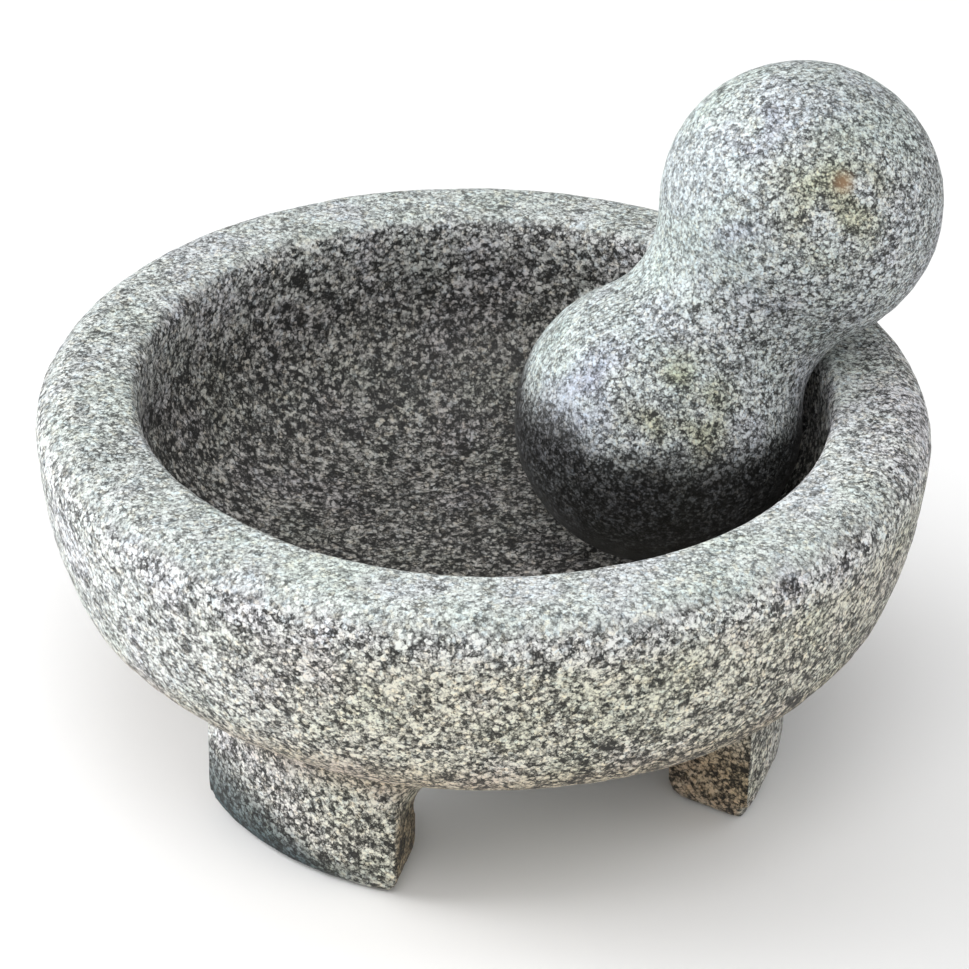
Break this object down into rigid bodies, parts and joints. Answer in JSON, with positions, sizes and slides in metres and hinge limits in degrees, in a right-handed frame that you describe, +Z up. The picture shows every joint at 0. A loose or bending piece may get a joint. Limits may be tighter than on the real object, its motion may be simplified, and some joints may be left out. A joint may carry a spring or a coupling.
{
  "type": "molcajete",
  "caption": "Round stone mortar bowl with a thick flat rim on short carved feet, and a two-bulb stone pestle that rests in it and lifts out.",
  "frame": {"origin": "on the ground, under the middle of the bowl", "axes": "+Z up out of the bowl, +X to the side that the pestle leans to, -Y to the person who grinds"},
  "size_m": [0.2037, 0.2024, 0.1638],
  "materials": {
    "mortar_granite": "matte unpolished granite, pale grains with charcoal grains and faint olive stains, pick-dressed",
    "pestle_granite": "matte fine-grained granite, slightly blue, darker and wet-looking on the grinding bulb"
  },
  "bodies": {
    "mortar_body": {"mortar": "mortar_granite"},
    "pestle_body": {"pestle": "pestle_granite"}
  },
  "joints": [
    {"name": "pestle_lift", "type": "slide", "parent": "mortar_body", "child": "pestle_body", "axis": [0, 0, 1], "range_m": [0, 0.08]}
  ]
}
